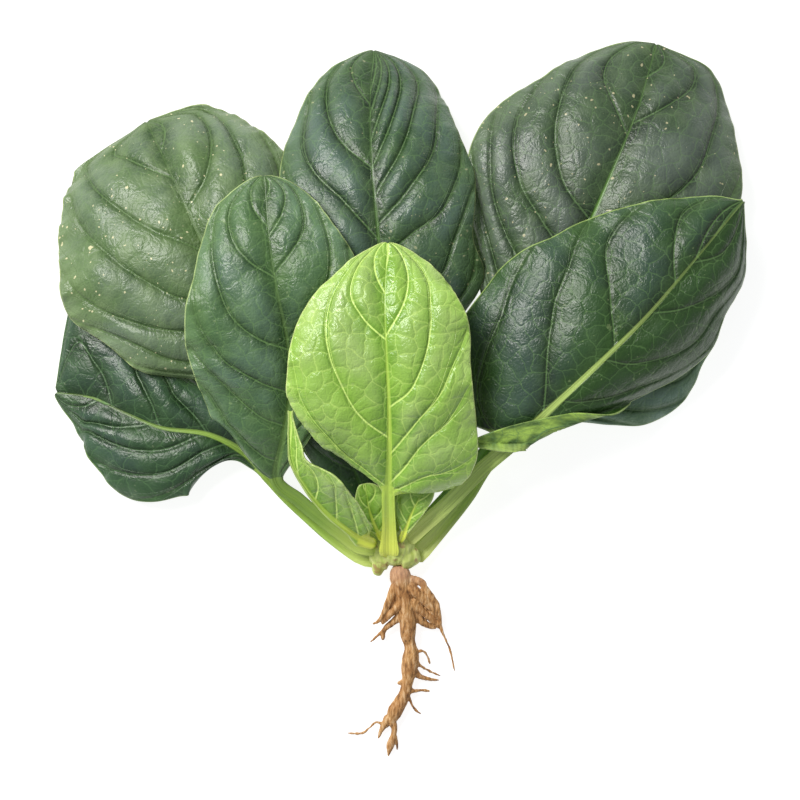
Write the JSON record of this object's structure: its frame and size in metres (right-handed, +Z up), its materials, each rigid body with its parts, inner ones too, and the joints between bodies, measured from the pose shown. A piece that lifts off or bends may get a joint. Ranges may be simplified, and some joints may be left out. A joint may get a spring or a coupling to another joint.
{
  "type": "spinach bunch",
  "caption": "Whole spinach plant lying flat: broad ribbed green leaves fanned out on pale stalks from a crown, with a brown tap root and fine side roots.",
  "frame": {"origin": "the flat spot under the crown where it rests on the surface", "axes": "+Z up from the surface, +Y from the root towards the leaf tips, +X to the right seen from above"},
  "size_m": [0.2755, 0.2863, 0.0586],
  "materials": {
    "grown_leaf": "deep green leaf with a thin waxy satin coat",
    "young_leaf": "bright yellow-green leaf, satin",
    "crown": "pale yellow-green moist stem tissue, satin",
    "root": "rough dry tan root skin, matte"
  },
  "bodies": {
    "root": {"leaf_low_left": "grown_leaf", "leaf_low_right": "grown_leaf", "leaf_back_left": "grown_leaf", "leaf_back_right": "grown_leaf", "leaf_back_centre": "grown_leaf", "leaf_inner_dark": "grown_leaf", "leaf_front_left": "grown_leaf", "leaf_front_right": "grown_leaf", "leaf_small_left": "young_leaf", "leaf_small_right": "young_leaf", "leaf_curled": "young_leaf", "leaf_centre": "young_leaf", "crown": "crown", "root": "root"}
  },
  "joints": []
}
